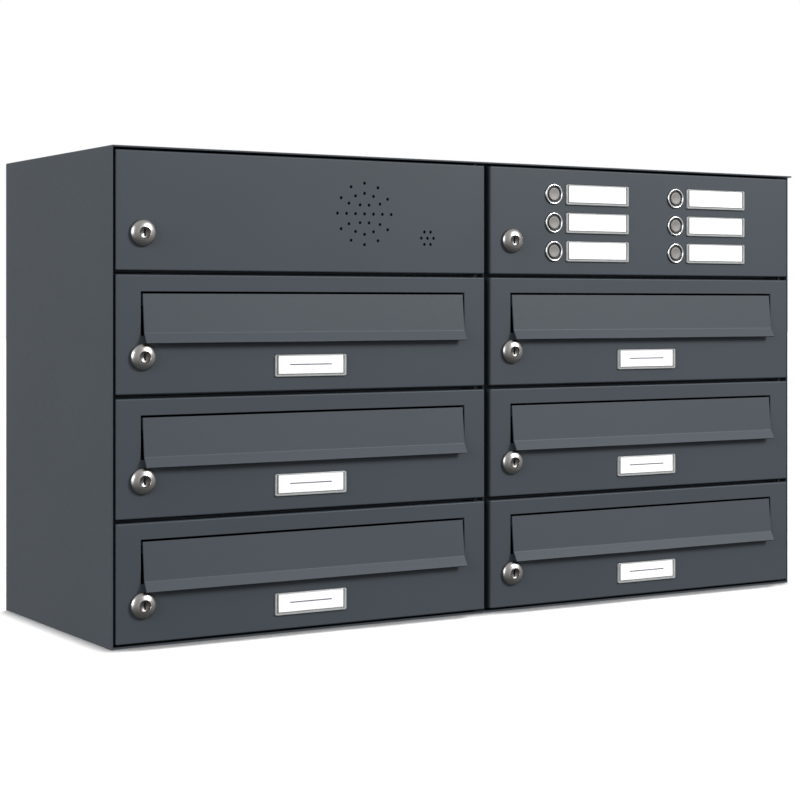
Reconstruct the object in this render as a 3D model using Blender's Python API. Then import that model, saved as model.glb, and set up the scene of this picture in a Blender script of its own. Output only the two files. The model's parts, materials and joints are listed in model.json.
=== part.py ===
"""Cluster mailbox unit: six letterboxes in two columns under an intercom compartment and a bell
compartment, in one sheet-metal housing.

X runs to the right, Y from the front into the unit and Z up. The origin is the centre of the base.
A door's own frame has its origin at the door's lower left front corner.
"""

import math

import bmesh
import bpy
from mathutils import Matrix, Vector

MM = 0.001

# Grid of cells: two columns of four rows, the top row for the intercom and the bell.
COLUMN_PITCH = 390 * MM
ROW_PITCH = 110 * MM
ROWS = 4
HOUSING_DEPTH = 275 * MM

# Sheet thicknesses and the gaps between separate pieces.
HOUSING_SHEET = 1.5 * MM
PARTITION_SHEET = 2 * MM
BOX_SHEET = 1 * MM
BACK_SHEET = 1 * MM
SEAM = 0.3 * MM
TOP_GAP = 0.5 * MM

# Housing, worked out from the grid.
INNER_WIDTH = 2 * COLUMN_PITCH + PARTITION_SHEET
HOUSING_WIDTH = INNER_WIDTH + 2 * HOUSING_SHEET
HOUSING_HEIGHT = ROWS * ROW_PITCH + 2 * (HOUSING_SHEET + TOP_GAP)
FRONT_Y = -HOUSING_DEPTH / 2
BACK_Y = HOUSING_DEPTH / 2
CELLS_BOTTOM = HOUSING_SHEET + TOP_GAP
REAR_FLANGE = 12 * MM
TOP_OVERHANG = 3 * MM
BASE_SETBACK = 3 * MM
PARTITION_SETBACK = 8 * MM
BACK_PANEL_REAR = BACK_Y - HOUSING_SHEET - SEAM
BACK_PANEL_FRONT = BACK_PANEL_REAR - BACK_SHEET
WALL_HOLE_RADIUS = 4 * MM
CABLE_HOLE_RADIUS = 13 * MM

# Doors, in the door's own frame.
DOOR_GAP = 2.5 * MM
DOOR_WIDTH = COLUMN_PITCH - 2 * DOOR_GAP
DOOR_HEIGHT = 106.4 * MM
DOOR_SKIN = 1.5 * MM
DOOR_FLANGE = 12 * MM
HINGE_INSET = 8 * MM
HINGE_DEPTH = 5 * MM
HINGE_ROD_RADIUS = 2 * MM
HINGE_HOLE_RADIUS = 2.4 * MM
HINGE_POINT = Vector((DOOR_WIDTH - HINGE_INSET, HINGE_DEPTH, 0))

# Letter slot and its flap.
SLOT_WIDTH = 338 * MM
SLOT_BOTTOM = 52 * MM
SLOT_TOP = 91.5 * MM
SLOT_LEFT = (DOOR_WIDTH - SLOT_WIDTH) / 2
SLOT_RIGHT = SLOT_LEFT + SLOT_WIDTH
SLOT_FLANGE_DEPTH = 9.5 * MM
SLOT_FLANGE_RISE = 0.8 * MM
EAR_OFFSET = 1.8 * MM
EAR_DROP = 11 * MM
FLAP_GAP = 2 * MM
FLAP_WIDTH = SLOT_WIDTH - 2 * FLAP_GAP
FLAP_TOP = SLOT_TOP - FLAP_GAP
FLAP_BEND_DROP = 35 * MM
FLAP_BEND_PROUD = 3.5 * MM
LIP_DROP = 8.7 * MM
LIP_PROUD = 9 * MM
FLAP_PIN_RADIUS = 1.25 * MM
FLAP_PIN_HOLE_RADIUS = 1.65 * MM
FLAP_PIVOT = Vector((DOOR_WIDTH / 2, 3.5 * MM, FLAP_TOP - 2.2 * MM))

# Cam lock: a domed body through the door and a turning plug with the cam on its rear end.
LOCK_POINT = Vector((25.3 * MM, 0, 33.4 * MM))
DOME_RADIUS = 12.1 * MM
DOME_RIM = 1.2 * MM
DOME_HEIGHT = 6.6 * MM
BARREL_RADIUS = 8 * MM
BARREL_END = 14.6 * MM
BARREL_HOLE_RADIUS = 8.4 * MM
PLUG_RADIUS = 5 * MM
PLUG_BORE_RADIUS = 5.4 * MM
PLUG_FRONT = 5.4 * MM
CAM_FRONT = 15.4 * MM
CAM_SHEET = 2 * MM
CAM_REACH = 21 * MM
CAM_WIDTH = 9 * MM
KEYWAY_WIDTH = 1.8 * MM
KEYWAY_HEIGHT = 6.6 * MM
KEYWAY_DEPTH = 4 * MM

# Name windows, which stand through a cut-out in the door from behind.
WINDOW_PROUD = 2 * MM
WINDOW_FRONT_WALL = 1.1 * MM
WINDOW_BACK = 3.4 * MM
WINDOW_SIDE_WALL = 2.3 * MM
WINDOW_TOP_WALL = 0.6 * MM
WINDOW_BOTTOM_WALL = 2.6 * MM
CARRIER_FRONT = 1.9 * MM
CUTOUT_GAP = 0.35 * MM
DOOR_WINDOW = (74 * MM, 20.3 * MM)
DOOR_WINDOW_POINT = Vector((DOOR_WIDTH / 2, 0, 23.3 * MM))
DOOR_WINDOW_LEDGE = 3.5 * MM

# Bell panel: two columns of three buttons, each with a name window on its right.
BELL_COLUMNS = (75.5 * MM, 230.5 * MM)
BELL_ROWS = (81 * MM, 52.3 * MM, 23.6 * MM)
BELL_WINDOW = (78 * MM, 20.5 * MM)
BELL_WINDOW_OFFSET = 54.2 * MM
BEZEL_RADIUS = 10.25 * MM
BEZEL_SEAT_RADIUS = 8 * MM
BEZEL_BORE_RADIUS = 6.9 * MM
BEZEL_PROUD = 2 * MM
BEZEL_SEAT_DEPTH = 0.8 * MM
BUTTON_RADIUS = 6.4 * MM
BUTTON_PROUD = 1.5 * MM
BUTTON_COLLAR_RADIUS = 8.5 * MM
BUTTON_STEM_RADIUS = 3 * MM
CARRIER_BACK = 3.9 * MM
BEZEL_STRIP_HALF = 12.3 * MM
BEZEL_STRIP = (4 * MM, 92.2 * MM)
BEZEL_BAR_TOP = 10.5 * MM
WINDOW_STRIP_MARGIN = 0.9 * MM
WINDOW_STRIP = (12 * MM, 100.5 * MM)
WINDOW_BAR_BOTTOM = 93.4 * MM

# Intercom: rings of small holes for the loudspeaker and the microphone.
SPEAKER_POINT = Vector((250 * MM, 0, 55.6 * MM))
SPEAKER_RING_PITCH = 9.7 * MM
SPEAKER_RINGS = (6, 12, 12)
MICROPHONE_POINT = Vector((319.5 * MM, 0, 33.8 * MM))
MICROPHONE_RING_RADIUS = 6.9 * MM
SOUND_HOLE_RADIUS = 1.5 * MM

# Compartment bodies, in the door's frame too.
BOX_FRONT = DOOR_FLANGE + 1.8 * MM
BOX_SIDE_GAP = 1 * MM
BOX_BACK = BACK_PANEL_FRONT - FRONT_Y - 0.4 * MM
BOX_WIDTH = COLUMN_PITCH - 2 * BOX_SIDE_GAP
BOX_HEIGHT = ROW_PITCH - 2 * SEAM
BOX_RIM = 8 * MM
BOX_HINGE_RELIEF = 20 * MM
BOX_HOLES_X = (60 * MM, 328 * MM)
BOX_HOLES_Z = 72 * MM
BOX_HOLE_RADIUS = 5 * MM

ROUND_SIDES = 20
SMALL_SIDES = 12
HOLE_SIDES = 10
OVERLAP = 0.5 * MM
REACH = 50 * MM


# ---------------------------------------------------------------- shapes


def block(low, high, bm=None):
    """A box between two corners, added to bm or to a new bmesh."""
    bm = bm or bmesh.new()
    low, high = Vector(low), Vector(high)
    place = Matrix.Translation((low + high) / 2) @ Matrix.Diagonal((*(high - low), 1))
    bmesh.ops.create_cube(bm, size=1, matrix=place)
    return bm


def rod(start, end, radius, sides, bm=None):
    """A round bar between two points, added to bm or to a new bmesh."""
    bm = bm or bmesh.new()
    start, end = Vector(start), Vector(end)
    axis = end - start
    turn = axis.to_track_quat("Z", "Y").to_matrix().to_4x4()
    bmesh.ops.create_cone(
        bm,
        cap_ends=True,
        segments=sides,
        radius1=radius,
        radius2=radius,
        depth=axis.length,
        matrix=Matrix.Translation((start + end) / 2) @ turn,
    )
    return bm


def turned(profile, sides, ring=False):
    """A solid of revolution about Y through (radius, y) points. A ring joins its last point to its first."""
    bm = bmesh.new()
    rings = []
    for radius, y in profile:
        angles = [2 * math.pi * i / sides for i in range(sides)]
        rings.append([bm.verts.new((radius * math.cos(a), y, radius * math.sin(a))) for a in angles])
    for first, second in zip(rings, rings[1:] + rings[:1] if ring else rings[1:]):
        for i in range(sides):
            j = (i + 1) % sides
            bm.faces.new((first[i], first[j], second[j], second[i]))
    if not ring:
        bm.faces.new(rings[0])
        bm.faces.new(rings[-1])
    bmesh.ops.recalc_face_normals(bm, faces=bm.faces)
    return bm


def extruded(outline, left, right):
    """A prism along X from left to right. outline is (y, z) points."""
    bm = bmesh.new()
    face = bm.faces.new([bm.verts.new((left, y, z)) for y, z in outline])
    grown = bmesh.ops.extrude_face_region(bm, geom=[face])
    moved = [v for v in grown["geom"] if isinstance(v, bmesh.types.BMVert)]
    bmesh.ops.translate(bm, vec=(right - left, 0, 0), verts=moved)
    bmesh.ops.recalc_face_normals(bm, faces=bm.faces)
    return bm


def mesh_from(bm, name):
    mesh = bpy.data.meshes.new(name)
    bm.to_mesh(mesh)
    bm.free()
    return mesh


def combined(name, base, add=(), cut=()):
    """The mesh of base joined with each bmesh in add, then cut by each bmesh in cut."""
    helpers = []
    for number, bm in enumerate((base, *add, *cut)):
        helper = bpy.data.objects.new(f"{name}_step_{number}", mesh_from(bm, f"{name}_step_{number}"))
        bpy.context.scene.collection.objects.link(helper)
        helpers.append(helper)
    operations = ["UNION"] * len(add) + ["DIFFERENCE"] * len(cut)
    for tool, operation in zip(helpers[1:], operations):
        step = helpers[0].modifiers.new(tool.name, "BOOLEAN")
        step.operation = operation
        step.solver = "EXACT"
        step.object = tool
    graph = bpy.context.evaluated_depsgraph_get()
    mesh = bpy.data.meshes.new_from_object(helpers[0].evaluated_get(graph))
    mesh.name = name
    for helper in helpers:
        left_over = helper.data
        bpy.data.objects.remove(helper)
        bpy.data.meshes.remove(left_over)
    return mesh


def moved(mesh, offset):
    mesh.transform(Matrix.Translation(offset))
    return mesh


def smoothed(mesh, sharp_degrees=35):
    mesh.shade_smooth()
    mesh.set_sharp_from_angle(angle=math.radians(sharp_degrees))
    return mesh


# ---------------------------------------------------------------- scene


def material(name, colour, roughness, metallic=0.0, alpha=1.0):
    made = bpy.data.materials.new(name)
    made.use_nodes = True
    shader = made.node_tree.nodes["Principled BSDF"]
    shader.inputs["Base Color"].default_value = (*colour, 1)
    shader.inputs["Roughness"].default_value = roughness
    shader.inputs["Metallic"].default_value = metallic
    shader.inputs["Alpha"].default_value = alpha
    return made


def place(name, mesh, paint, location, parent=None):
    """A named piece at a location in its parent's frame. Pieces of one kind share their mesh."""
    if not mesh.materials:
        mesh.materials.append(paint)
    piece = bpy.data.objects.new(name, mesh)
    piece.location = location
    piece.parent = parent
    bpy.context.scene.collection.objects.link(piece)
    return piece


def axis_empty(name, location):
    """An empty on a hinge axis, which carries everything that swings with it."""
    empty = bpy.data.objects.new(name, None)
    empty.empty_display_size = 20 * MM
    empty.location = location
    bpy.context.scene.collection.objects.link(empty)
    return empty


# ---------------------------------------------------------------- housing


def housing_hood_mesh():
    """Left wall and top bent from one sheet, the top reaching over the right wall, with a rear flange."""
    half, top, wall = HOUSING_WIDTH / 2, HOUSING_HEIGHT, HOUSING_SHEET
    inner = REAR_FLANGE + wall
    shell = block((-half, FRONT_Y, 0), (half + TOP_OVERHANG, BACK_Y, top))
    inside = block((-half + wall, FRONT_Y - REACH, -REACH), (half + REACH, BACK_Y - wall, top - wall))
    window = block((-half + inner, BACK_Y - REACH, -REACH), (half + REACH, BACK_Y + REACH, top - inner))
    beside_wall = block(
        (half - wall - SEAM, BACK_Y - REACH, -REACH),
        (half + REACH, BACK_Y + REACH, top - wall),
    )
    return combined("housing_hood", shell, cut=[inside, window, beside_wall])


def housing_base_mesh():
    """Base and right wall bent from one sheet, set back from the front, with a rear flange."""
    half, top, wall = HOUSING_WIDTH / 2, HOUSING_HEIGHT, HOUSING_SHEET
    inner = REAR_FLANGE + wall
    shell = block((-half + wall + SEAM, FRONT_Y + BASE_SETBACK, 0), (half, BACK_Y, top - wall - SEAM))
    inside = block((-half - REACH, FRONT_Y - REACH, wall), (half - wall, BACK_Y - wall, top + REACH))
    window = block((-half - REACH, BACK_Y - REACH, inner), (half - inner, BACK_Y + REACH, top + REACH))
    under_hood = block(
        (half - inner - REACH, BACK_Y - 2 * wall, top - inner - SEAM),
        (half - wall, BACK_Y + REACH, top + REACH),
    )
    beside_hood = block(
        (-half - REACH, BACK_Y - wall - SEAM, -REACH),
        (-half + inner + SEAM, BACK_Y + REACH, inner + REACH),
    )
    return combined("housing_base", shell, cut=[inside, window, under_hood, beside_hood])


def wall_screw_points():
    """Where wall screws go through the back panel, in line with the holes of the corner boxes."""
    outer_x = column_left(0) + BOX_SIDE_GAP + BOX_HOLES_X[0]
    for row in (0, ROWS - 1):
        z = CELLS_BOTTOM + row * ROW_PITCH + SEAM + BOX_HOLES_Z
        for side in (-1, 1):
            yield side * abs(outer_x), z


def cable_point():
    """Centre of the cable entry, behind the bell compartment."""
    return COLUMN_PITCH / 2, CELLS_BOTTOM + (ROWS - 0.5) * ROW_PITCH


def back_panel_mesh():
    """Flat rear sheet in front of the rear flanges, with four wall screw holes and a cable entry."""
    half, gap = INNER_WIDTH / 2 - SEAM, HOUSING_SHEET + SEAM
    sheet = block(
        (-half, BACK_PANEL_FRONT, gap),
        (half, BACK_PANEL_REAR, HOUSING_HEIGHT - gap),
    )
    holes = bmesh.new()
    for x, z in wall_screw_points():
        rod((x, 0, z), (x, BACK_Y + REACH, z), WALL_HOLE_RADIUS, SMALL_SIDES, holes)
    x, z = cable_point()
    rod((x, 0, z), (x, BACK_Y + REACH, z), CABLE_HOLE_RADIUS, ROUND_SIDES, holes)
    return combined("back_panel", sheet, cut=[holes])


def cable_grommet_mesh():
    """Rubber ring that lines the cable entry, with a flange on each side of the back panel."""
    lip, neck, bore = CABLE_HOLE_RADIUS + 2 * MM, CABLE_HOLE_RADIUS - SEAM, 8 * MM
    front, rear = -BACK_SHEET / 2 - SEAM, BACK_SHEET / 2 + SEAM
    flange = 1.2 * MM
    profile = [
        (bore, front - 0.08 * MM),
        (neck, front - 0.08 * MM),
        (neck, rear),
        (lip, rear),
        (lip, rear + flange),
        (bore, rear + flange),
    ]
    return smoothed(mesh_from(turned(profile, ROUND_SIDES, ring=True), "cable_grommet"))


def build_housing(paints):
    coat = paints["powder_coat"]
    place("housing_hood", housing_hood_mesh(), coat, (0, 0, 0))
    place("housing_base", housing_base_mesh(), coat, (0, 0, 0))
    place("back_panel", back_panel_mesh(), coat, (0, 0, 0))
    gap, half = HOUSING_SHEET + SEAM, PARTITION_SHEET / 2
    partition = block(
        (-half, FRONT_Y + PARTITION_SETBACK, gap),
        (half, BACK_PANEL_FRONT - 0.4 * MM, HOUSING_HEIGHT - gap),
    )
    place("centre_partition", mesh_from(partition, "centre_partition"), coat, (0, 0, 0))
    x, z = cable_point()
    middle = (BACK_PANEL_FRONT + BACK_PANEL_REAR) / 2
    place("cable_grommet", cable_grommet_mesh(), paints["rubber"], (x, middle, z))
    bar = rod((0, 0, gap), (0, 0, HOUSING_HEIGHT - gap), HINGE_ROD_RADIUS, SMALL_SIDES)
    rod_mesh = smoothed(mesh_from(bar, "hinge_rod"))
    for column, side in enumerate(("left", "right")):
        x = column_left(column) + DOOR_GAP + HINGE_POINT.x
        place(f"{side}_hinge_rod", rod_mesh, paints["black_steel"], (x, FRONT_Y + HINGE_DEPTH, 0))


# ---------------------------------------------------------------- compartment bodies


def box_body_mesh(name, cable_entry):
    """An open-fronted box with a rim at the left, top and bottom that the door closes against.

    The rim stops short of the hinge side, where the edge of the door swings in.
    """
    wall, width, height = BOX_SHEET, BOX_WIDTH, BOX_HEIGHT
    shell = block((0, BOX_FRONT, 0), (width, BOX_BACK, height))
    inside = block(
        (wall, BOX_FRONT + wall, wall),
        (width - wall, BOX_BACK - wall, height - wall),
    )
    mouth = block(
        (wall + BOX_RIM, BOX_FRONT - REACH, wall + BOX_RIM),
        (width - wall, BOX_FRONT + REACH, height - wall - BOX_RIM),
    )
    relief = block(
        (width - BOX_HINGE_RELIEF, BOX_FRONT - REACH, wall),
        (width - wall, BOX_FRONT + REACH, height - wall),
    )
    holes = bmesh.new()
    before, behind = BOX_BACK - REACH, BOX_BACK + REACH
    for x in BOX_HOLES_X:
        rod((x, before, BOX_HOLES_Z), (x, behind, BOX_HOLES_Z), BOX_HOLE_RADIUS, SMALL_SIDES, holes)
    if cable_entry:
        x, z = width / 2, height / 2
        rod((x, before, z), (x, behind, z), CABLE_HOLE_RADIUS + 3 * MM, ROUND_SIDES, holes)
    return combined(name, shell, cut=[inside, mouth, relief, holes])


# ---------------------------------------------------------------- doors


def column_left(column):
    """Left edge of a column of cells."""
    return -INNER_WIDTH / 2 + column * (COLUMN_PITCH + PARTITION_SHEET)


def door_corner(column, row):
    """World place of a door's lower left front corner."""
    above = (ROW_PITCH - DOOR_HEIGHT) / 2
    return Vector((column_left(column) + DOOR_GAP, FRONT_Y, CELLS_BOTTOM + row * ROW_PITCH + above))


def round_cut(point, radius, sides, bm=None):
    """A cutter through a door's skin along Y."""
    front, rear = Vector((0, -REACH, 0)), Vector((0, REACH, 0))
    return rod(point + front, point + rear, radius, sides, bm)


def window_cut(point, size, bm=None):
    """A cutter for the rectangular hole that a name window stands through."""
    half = Vector((size[0] / 2 + CUTOUT_GAP, REACH, size[1] / 2 + CUTOUT_GAP))
    return block(point - half, point + half, bm)


def door_tray(name, add, cut):
    """A flat skin with flanges turned in on all four sides and holes for the hinge rod and the lock.

    The mesh's origin is on the hinge axis, at the door's lower edge.
    """
    sheet = DOOR_SKIN
    tray = block((0, 0, 0), (DOOR_WIDTH, DOOR_FLANGE, DOOR_HEIGHT))
    hollow = block(
        (sheet, sheet, sheet),
        (DOOR_WIDTH - sheet, DOOR_FLANGE + REACH, DOOR_HEIGHT - sheet),
    )
    hinge_hole = rod(
        HINGE_POINT - Vector((0, 0, REACH)),
        HINGE_POINT + Vector((0, 0, DOOR_HEIGHT + REACH)),
        HINGE_HOLE_RADIUS,
        SMALL_SIDES,
    )
    lock_hole = round_cut(LOCK_POINT, BARREL_HOLE_RADIUS, ROUND_SIDES)
    base = mesh_to_bmesh(combined(name + "_tray", tray, cut=[hollow]))
    return moved(combined(name, base, add, [hinge_hole, lock_hole, *cut]), -HINGE_POINT)


def mesh_to_bmesh(mesh):
    bm = bmesh.new()
    bm.from_mesh(mesh)
    bpy.data.meshes.remove(mesh)
    return bm


def letterbox_door_mesh():
    """Door with the letter slot, a stiffening flange above and below it, and the flap's two ears."""
    inside_skin = DOOR_SKIN / 2
    ear_left = SLOT_LEFT - EAR_OFFSET - DOOR_SKIN
    ear_right = SLOT_RIGHT + EAR_OFFSET + DOOR_SKIN
    flange_top = SLOT_TOP + SLOT_FLANGE_RISE + DOOR_SKIN
    upper = block(
        (ear_left, inside_skin, SLOT_TOP + SLOT_FLANGE_RISE),
        (ear_right, SLOT_FLANGE_DEPTH, flange_top),
    )
    lower = block(
        (SLOT_LEFT, inside_skin, SLOT_BOTTOM - DOOR_SKIN),
        (SLOT_RIGHT, SLOT_FLANGE_DEPTH, SLOT_BOTTOM + OVERLAP),
    )
    ears = bmesh.new()
    for start in (ear_left, ear_right - DOOR_SKIN):
        block(
            (start, inside_skin, FLAP_TOP - EAR_DROP),
            (start + DOOR_SKIN, SLOT_FLANGE_DEPTH, flange_top - OVERLAP),
            ears,
        )
    slot = block((SLOT_LEFT, -REACH, SLOT_BOTTOM), (SLOT_RIGHT, REACH, SLOT_TOP))
    pin_hole = rod(
        (ear_left - 5 * MM, FLAP_PIVOT.y, FLAP_PIVOT.z),
        (ear_right + 5 * MM, FLAP_PIVOT.y, FLAP_PIVOT.z),
        FLAP_PIN_HOLE_RADIUS,
        SMALL_SIDES,
    )
    window = window_cut(DOOR_WINDOW_POINT, DOOR_WINDOW)
    return door_tray("letterbox_door", [upper, lower, ears], [slot, pin_hole, window])


def sound_holes():
    """Cutters for the loudspeaker's rings of holes and the microphone's."""
    holes = round_cut(SPEAKER_POINT, SOUND_HOLE_RADIUS, HOLE_SIDES)
    round_cut(MICROPHONE_POINT, SOUND_HOLE_RADIUS, HOLE_SIDES, holes)
    rings = [(SPEAKER_POINT, SPEAKER_RING_PITCH * (n + 1), count) for n, count in enumerate(SPEAKER_RINGS)]
    rings.append((MICROPHONE_POINT, MICROPHONE_RING_RADIUS, 6))
    for centre, radius, count in rings:
        for i in range(count):
            angle = 2 * math.pi * i / count
            offset = Vector((math.cos(angle), 0, math.sin(angle))) * radius
            round_cut(centre + offset, SOUND_HOLE_RADIUS, HOLE_SIDES, holes)
    return holes


def bell_door_mesh():
    """Door with three rows of two round bezel holes and name window holes."""
    holes = bmesh.new()
    for x, z in bell_points():
        round_cut(Vector((x, 0, z)), BEZEL_RADIUS + CUTOUT_GAP, ROUND_SIDES, holes)
        window_cut(Vector((x + BELL_WINDOW_OFFSET, 0, z)), BELL_WINDOW, holes)
    return door_tray("bell_door", [], [holes])


def bell_points():
    return [(x, z) for z in BELL_ROWS for x in BELL_COLUMNS]


# ---------------------------------------------------------------- flap


def flap_outline():
    """(y, z) outline of the bent flap sheet, about the pivot: the outer face down, the inner face up."""
    bend_z = FLAP_TOP - FLAP_BEND_DROP
    outer = [
        Vector((0, FLAP_TOP)),
        Vector((-FLAP_BEND_PROUD, bend_z)),
        Vector((-LIP_PROUD, bend_z - LIP_DROP)),
    ]
    face_normal = Vector((outer[0].y - outer[1].y, outer[1].x - outer[0].x)).normalized()
    lip_normal = Vector((outer[1].y - outer[2].y, outer[2].x - outer[1].x)).normalized()
    between = (face_normal + lip_normal).normalized()
    mitre = between * DOOR_SKIN / between.dot(face_normal)
    inner = [outer[0] + face_normal * DOOR_SKIN, outer[1] + mitre, outer[2] + lip_normal * DOOR_SKIN]
    pivot = Vector((FLAP_PIVOT.y, FLAP_PIVOT.z))
    return [point - pivot for point in outer + inner[::-1]]


def flap_mesh():
    """Bent sheet with a cheek at each end that carries the pivot pin."""
    half = FLAP_WIDTH / 2
    sheet = extruded(flap_outline(), -half, half)
    cheek_height = 10.5 * MM
    cheeks = bmesh.new()
    pins = bmesh.new()
    pin_end = half + FLAP_GAP + EAR_OFFSET + 2 * DOOR_SKIN
    for side in (-1, 1):
        ends = sorted((side * half, side * (half - DOOR_SKIN)))
        block(
            (ends[0], -2.4 * MM, FLAP_TOP - FLAP_PIVOT.z - cheek_height),
            (ends[1], 3 * MM, FLAP_TOP - FLAP_PIVOT.z - 0.3 * MM),
            cheeks,
        )
        inner_end = side * (half - 2 * DOOR_SKIN)
        rod((inner_end, 0, 0), (side * pin_end, 0, 0), FLAP_PIN_RADIUS, HOLE_SIDES, pins)
    return combined("inlet_flap", sheet, add=[cheeks, pins])


# ---------------------------------------------------------------- lock


def lock_body_mesh():
    """Domed head and barrel in one, bored for the plug. Its origin is on the axis at the door's face."""
    dome = []
    steps = 5
    for i in range(steps):
        radius = PLUG_BORE_RADIUS + (DOME_RADIUS - PLUG_BORE_RADIUS) * i / (steps - 1)
        rise = math.sqrt(max(0, 1 - (radius / DOME_RADIUS) ** 2))
        dome.append((radius, -DOME_RIM - (DOME_HEIGHT - DOME_RIM) * rise))
    profile = [
        *dome,
        (DOME_RADIUS, -SEAM),
        (BARREL_RADIUS, -SEAM),
        (BARREL_RADIUS, BARREL_END),
        (PLUG_BORE_RADIUS, BARREL_END),
    ]
    return smoothed(mesh_from(turned(profile, ROUND_SIDES, ring=True), "lock_body"))


def lock_plug_mesh():
    """Turning plug with its keyway in front and the cam behind, pointing down when unlocked."""
    cam_back = CAM_FRONT + CAM_SHEET
    plug = turned([(PLUG_RADIUS, -PLUG_FRONT), (PLUG_RADIUS, cam_back + 0.4 * MM)], ROUND_SIDES)
    half = CAM_WIDTH / 2
    tip_centre = -CAM_REACH + half
    cam = block((-half, CAM_FRONT, tip_centre), (half, cam_back, half))
    inset = CAM_SHEET / 20
    tip = rod(
        (0, CAM_FRONT + inset, tip_centre),
        (0, cam_back - inset, tip_centre),
        half - inset,
        SMALL_SIDES,
    )
    keyway = block(
        (-KEYWAY_WIDTH / 2, -PLUG_FRONT - REACH, -KEYWAY_HEIGHT / 2),
        (KEYWAY_WIDTH / 2, -PLUG_FRONT + KEYWAY_DEPTH, KEYWAY_HEIGHT / 2),
    )
    return combined("lock_plug", plug, add=[cam, tip], cut=[keyway])


# ---------------------------------------------------------------- name windows


def window_pocket(point, size, bm=None):
    """Cutter for the pocket behind a name window, where the paper label goes in from the rear."""
    half_width = size[0] / 2 - WINDOW_SIDE_WALL
    low = Vector((-half_width, -WINDOW_PROUD + WINDOW_FRONT_WALL, -size[1] / 2 + WINDOW_BOTTOM_WALL))
    high = Vector((half_width, REACH, size[1] / 2 - WINDOW_TOP_WALL))
    return block(point + low, point + high, bm)


def window_block(point, size, bm=None):
    """The clear block that shows at the front of the door."""
    low = Vector((-size[0] / 2, -WINDOW_PROUD, -size[1] / 2))
    high = Vector((size[0] / 2, CARRIER_FRONT + OVERLAP, size[1] / 2))
    return block(point + low, point + high, bm)


def nameplate_mesh():
    """A door's name window with the ledge that holds it from behind, about its own centre."""
    centre = Vector((0, 0, 0))
    wide = DOOR_WINDOW[0] / 2 + DOOR_WINDOW_LEDGE
    tall = DOOR_WINDOW[1] / 2 + DOOR_WINDOW_LEDGE
    ledge = block((-wide, CARRIER_FRONT, -tall), (wide, WINDOW_BACK, tall))
    return combined(
        "nameplate", ledge, add=[window_block(centre, DOOR_WINDOW)], cut=[window_pocket(centre, DOOR_WINDOW)]
    )


def bell_nameplate_carrier_mesh():
    """Two strips of three name windows, joined by a bar along the top behind the bell door."""
    windows, pockets = bmesh.new(), bmesh.new()
    half = BELL_WINDOW[0] / 2 + WINDOW_STRIP_MARGIN
    centres = [x + BELL_WINDOW_OFFSET for x in BELL_COLUMNS]
    strips = bmesh.new()
    for x in centres:
        block((x - half, CARRIER_FRONT, WINDOW_STRIP[0]), (x + half, CARRIER_BACK, WINDOW_STRIP[1]), strips)
    bar = block(
        (centres[0] - half + OVERLAP, CARRIER_FRONT, WINDOW_BAR_BOTTOM),
        (centres[1] + half - OVERLAP, CARRIER_BACK, WINDOW_STRIP[1]),
    )
    for x, z in bell_points():
        point = Vector((x + BELL_WINDOW_OFFSET, 0, z))
        window_block(point, BELL_WINDOW, windows)
        window_pocket(point, BELL_WINDOW, pockets)
    return combined("bell_nameplate_carrier", strips, add=[bar, windows], cut=[pockets])


# ---------------------------------------------------------------- bell buttons and intercom


def bell_bezel_carrier_mesh():
    """Two strips of three round bezels, joined by a bar along the bottom behind the bell door."""
    strips, bezels, bores, seats = (bmesh.new() for _ in range(4))
    for x in BELL_COLUMNS:
        block(
            (x - BEZEL_STRIP_HALF, CARRIER_FRONT, BEZEL_STRIP[0]),
            (x + BEZEL_STRIP_HALF, CARRIER_BACK, BEZEL_STRIP[1]),
            strips,
        )
    bar = block(
        (BELL_COLUMNS[0], CARRIER_FRONT, BEZEL_STRIP[0]),
        (BELL_COLUMNS[1], CARRIER_BACK, BEZEL_BAR_TOP),
    )
    for x, z in bell_points():
        rod((x, -BEZEL_PROUD, z), (x, CARRIER_FRONT + OVERLAP, z), BEZEL_RADIUS, ROUND_SIDES, bezels)
        round_cut(Vector((x, 0, z)), BEZEL_BORE_RADIUS, ROUND_SIDES, bores)
        rod((x, -REACH, z), (x, -BEZEL_PROUD + BEZEL_SEAT_DEPTH, z), BEZEL_SEAT_RADIUS, ROUND_SIDES, seats)
    return combined("bell_bezel_carrier", strips, add=[bar, bezels], cut=[bores, seats])


def bell_button_mesh():
    """Push cap, the collar behind the carrier that keeps it in, and the stem to its switch."""
    collar_front = CARRIER_BACK + 0.5 * MM
    profile = [
        (BUTTON_RADIUS, -BUTTON_PROUD),
        (BUTTON_RADIUS, collar_front),
        (BUTTON_COLLAR_RADIUS, collar_front),
        (BUTTON_COLLAR_RADIUS, collar_front + 1.5 * MM),
        (BUTTON_STEM_RADIUS, collar_front + 1.5 * MM),
        (BUTTON_STEM_RADIUS, collar_front + 5 * MM),
    ]
    return smoothed(mesh_from(turned(profile, ROUND_SIDES), "bell_button"))


def speaker_unit_mesh():
    """Intercom insert behind the sound holes: a base plate with the loudspeaker and the microphone."""
    plate_front, plate_back = 4 * MM, 6.5 * MM
    plate = block(
        (SPEAKER_POINT.x - 40 * MM, plate_front, 12 * MM),
        (MICROPHONE_POINT.x + 14 * MM, plate_back, 97 * MM),
    )
    speaker = rod(
        SPEAKER_POINT + Vector((0, plate_back - OVERLAP, 0)),
        SPEAKER_POINT + Vector((0, 20 * MM, 0)),
        33 * MM,
        ROUND_SIDES,
    )
    microphone = rod(
        MICROPHONE_POINT + Vector((0, plate_back - OVERLAP, 0)),
        MICROPHONE_POINT + Vector((0, 11 * MM, 0)),
        8 * MM,
        SMALL_SIDES,
    )
    mesh = combined("speaker_unit", plate, add=[speaker, microphone])
    return moved(mesh, -HINGE_POINT)


# ---------------------------------------------------------------- assembly


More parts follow.
